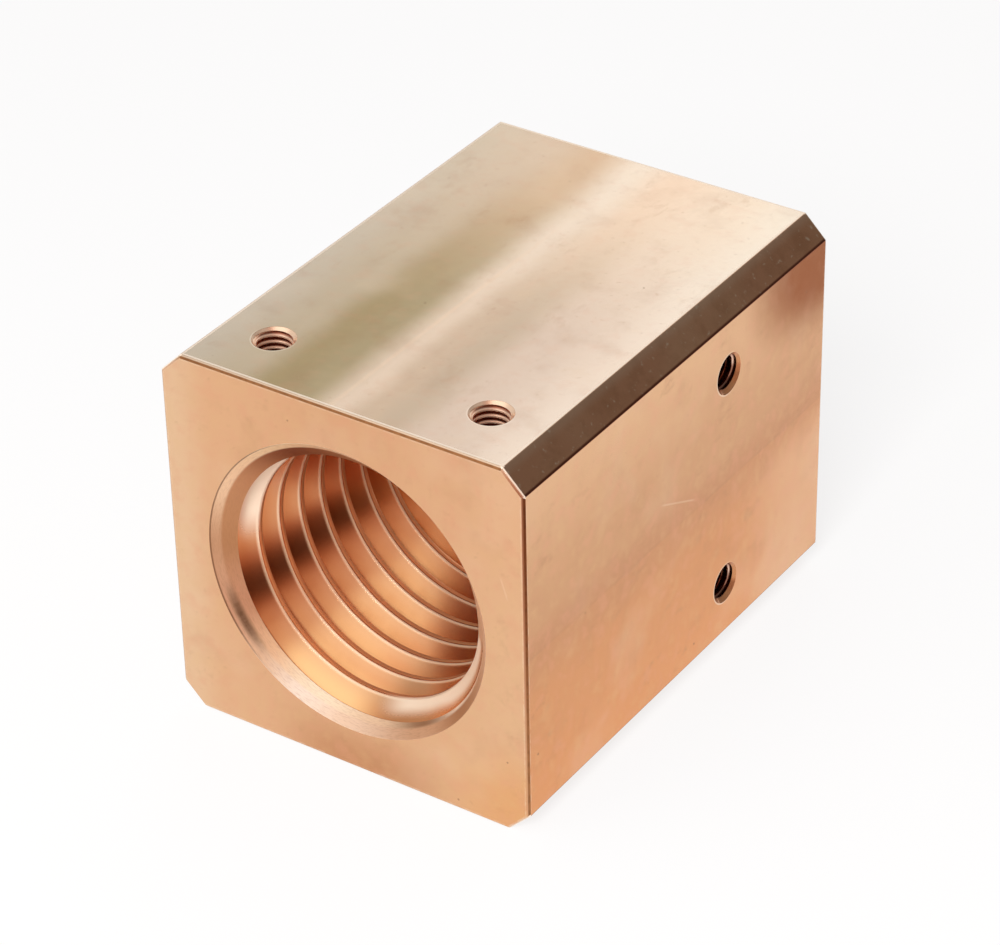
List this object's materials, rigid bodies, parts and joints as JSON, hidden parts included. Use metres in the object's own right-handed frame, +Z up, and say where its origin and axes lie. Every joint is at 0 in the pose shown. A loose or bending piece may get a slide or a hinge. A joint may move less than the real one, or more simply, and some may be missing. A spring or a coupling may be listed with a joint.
{
  "type": "lead screw nut",
  "caption": "Square bronze lead screw nut with a coarse right-hand internal thread along its length and tapped holes in its top and side.",
  "frame": {"origin": "middle of the flat bottom face", "axes": "+Z up; the threaded bore runs along Y and the end next to the top pair of tapped holes faces -Y; the side with tapped holes faces +X"},
  "size_m": [0.06, 0.08, 0.06],
  "materials": {
    "bronze": "fine machined bronze, satin to bright"
  },
  "bodies": {
    "root": {"nut_body": "bronze"}
  },
  "joints": []
}
